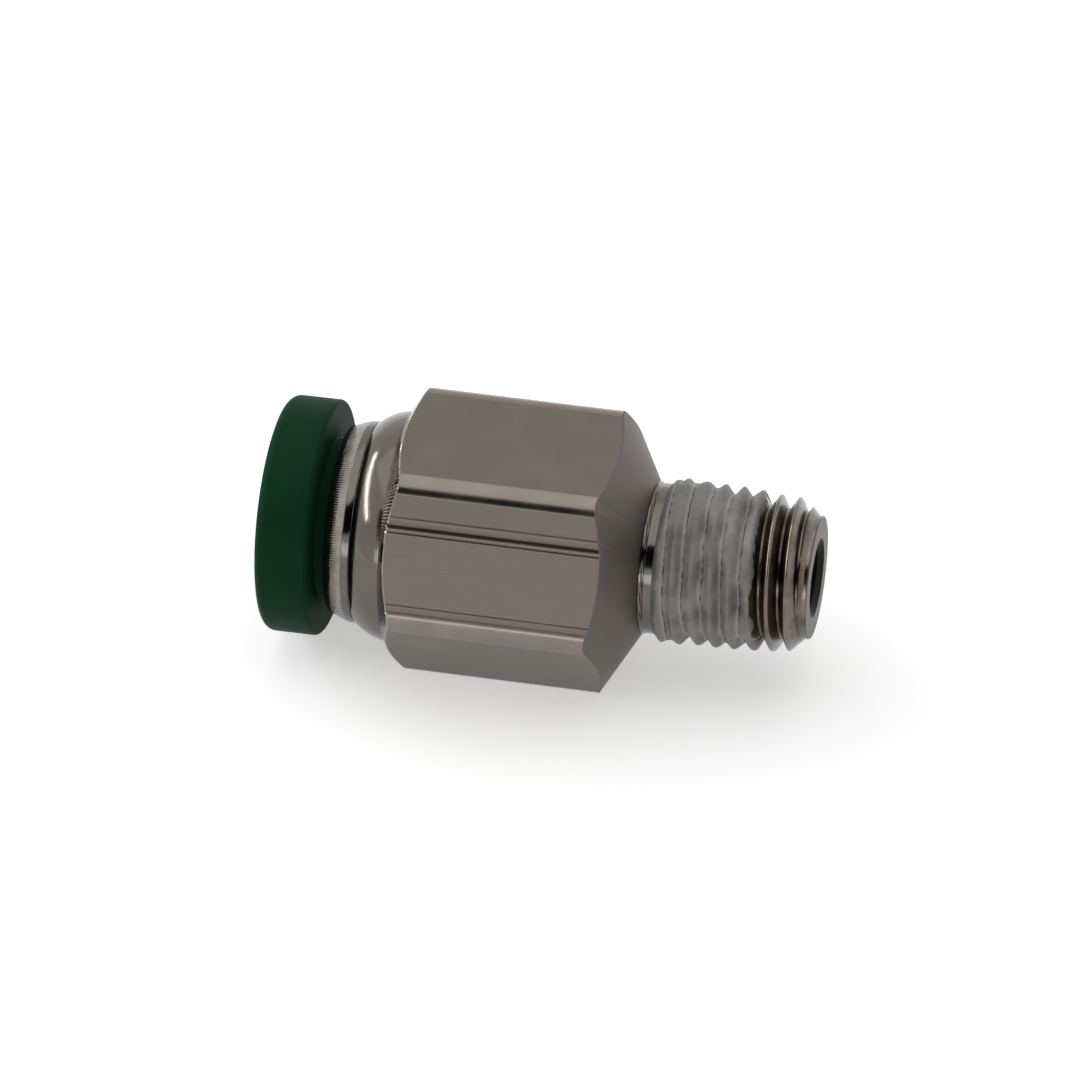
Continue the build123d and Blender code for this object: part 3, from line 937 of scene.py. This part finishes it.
stage = {
    "floorSize": 3.0, "floorColour": "#f4f4f4", "floorGlow": 0.44, "worldLight": 0.55,
    "lamps": (
        {"name": "topSoftbox", "from": (-0.05, 0.10, 0.60), "size": (0.80, 0.80), "watts": 0.95},
        {"name": "sideStrip", "from": (-0.44, 0.04, 0.25), "size": (0.56, 0.05), "watts": 0.9},
        {"name": "frontFill", "from": (0.0, -0.62, 0.10), "size": (0.70, 0.16), "watts": 0.62},
    ),
    # a matt black card behind the camera gives the plate its dark lines
    "card": {"distance": 0.55, "size": (0.9, 0.36), "lift": 0.03, "colour": "#1a1a1a"},
}


def directRays(tree):
    # 1 for what the camera sees, straight or by reflection or through glass, and 0 for light
    path = addNode(tree, "ShaderNodeLightPath")
    seen = addNode(tree, "ShaderNodeMath", {"operation": "MAXIMUM"},
                   links={0: (path, "Is Camera Ray"), 1: (path, "Is Glossy Ray")})
    return addNode(tree, "ShaderNodeMath", {"operation": "MAXIMUM"},
                   links={0: (seen, "Value"), 1: (path, "Is Transmission Ray")})


def makeStage():
    s = stage
    deselectAll()
    bpy.ops.mesh.primitive_plane_add(size=s["floorSize"], location=(0, 0, 0))
    floor = bpy.context.object
    floor.name = "floor"
    material, tree, shader = newMaterial("paleFloor")
    shader.inputs["Base Color"].default_value = toLinear(s["floorColour"])
    shader.inputs["Roughness"].default_value = 0.9
    shader.inputs["Specular IOR Level"].default_value = 0.0
    # a little of the floor's own white for the camera and for reflections; its shadow stays
    shader.inputs["Emission Color"].default_value = (1, 1, 1, 1)
    glow = addNode(tree, "ShaderNodeMath", {"operation": "MULTIPLY"}, inputs={1: s["floorGlow"]},
                   links={0: (directRays(tree), "Value")})
    tree.links.new(glow.outputs["Value"], shader.inputs["Emission Strength"])
    floor.data.materials.append(material)

    world = bpy.data.worlds.new("studio")
    world.use_nodes = True
    bpy.context.scene.world = world
    tree = world.node_tree
    background = next(n for n in tree.nodes if n.type == "BACKGROUND")
    background.inputs["Color"].default_value = (1, 1, 1, 1)
    level = addNode(tree, "ShaderNodeMapRange", inputs={"To Min": s["worldLight"], "To Max": 1.0},
                    links={"Value": (directRays(tree), "Value")})
    tree.links.new(level.outputs["Result"], background.inputs["Strength"])

    for lamp in s["lamps"]:
        light = bpy.data.lights.new(lamp["name"], "AREA")
        light.shape = "RECTANGLE"
        light.size, light.size_y = lamp["size"]
        light.energy = lamp["watts"]
        holder = bpy.data.objects.new(lamp["name"], light)
        bpy.context.collection.objects.link(holder)
        holder.location = lamp["from"]
        aim = Vector((0, 0, 0.006)) - Vector(lamp["from"])
        holder.rotation_euler = aim.to_track_quat("-Z", "Y").to_euler()


def makeCard(camera):
    # stands behind the camera, square to its view
    s = stage["card"]
    deselectAll()
    bpy.ops.mesh.primitive_plane_add(size=1, location=(0, 0, 0))
    card = bpy.context.object
    card.name = "cameraCard"
    view = camera.matrix_world.to_3x3()
    spot = Matrix.Translation(view @ Vector((0, s["lift"], s["distance"])))
    size = Matrix.Diagonal((s["size"][0], s["size"][1], 1, 1))
    card.matrix_world = spot @ view.to_4x4() @ size
    material, tree, shader = newMaterial("mattBlackCard")
    shader.inputs["Base Color"].default_value = toLinear(s["colour"])
    shader.inputs["Roughness"].default_value = 1.0
    shader.inputs["Specular IOR Level"].default_value = 0.0
    card.data.materials.append(material)


# the photograph's view: 42 degrees above the floor, a little to the stud's side. The point in
# millimetres that look gives stands at lookPixel of the frame
photoView = {
    "azimuth": 12.68, "elevation": 42.31, "roll": -1.53, "distance": 473.4, "pixelsPerMm": 20.197,
    "look": (fitting["frontX"] + fitting["hexStart"] + 6.928, 0.0, fitting["axisHeight"]),
    "lookPixel": (538.68, 543.19), "frame": 1080, "sensor": 36.0,
}


def makeCamera():
    s = photoView
    azimuth, elevation, roll = (math.radians(s[key]) for key in ("azimuth", "elevation", "roll"))
    back = Vector((math.sin(azimuth) * math.cos(elevation), -math.cos(azimuth) * math.cos(elevation),
                   math.sin(elevation)))
    level = Vector((math.cos(azimuth), math.sin(azimuth), 0))
    rise = back.cross(level)
    right = level * math.cos(roll) + rise * math.sin(roll)
    up = rise * math.cos(roll) - level * math.sin(roll)
    offX = (s["lookPixel"][0] - s["frame"] / 2) / s["pixelsPerMm"]
    offY = -(s["lookPixel"][1] - s["frame"] / 2) / s["pixelsPerMm"]
    spot = (Vector(s["look"]) + back * s["distance"] - right * offX - up * offY) * millimetre
    turn = Matrix((right, up, back)).transposed().to_4x4()
    camera = bpy.data.objects.new("camera", bpy.data.cameras.new("camera"))
    bpy.context.collection.objects.link(camera)
    camera.matrix_world = Matrix.Translation(spot) @ turn
    camera.data.sensor_width = s["sensor"]
    camera.data.lens = s["sensor"] * s["distance"] * s["pixelsPerMm"] / s["frame"]
    camera.data.clip_start, camera.data.clip_end = 0.01, 20
    bpy.context.scene.camera = camera
    return camera


makeStage()
makeCard(makeCamera())
bpy.context.scene.view_settings.view_transform = "Standard"
print("stage and camera set")
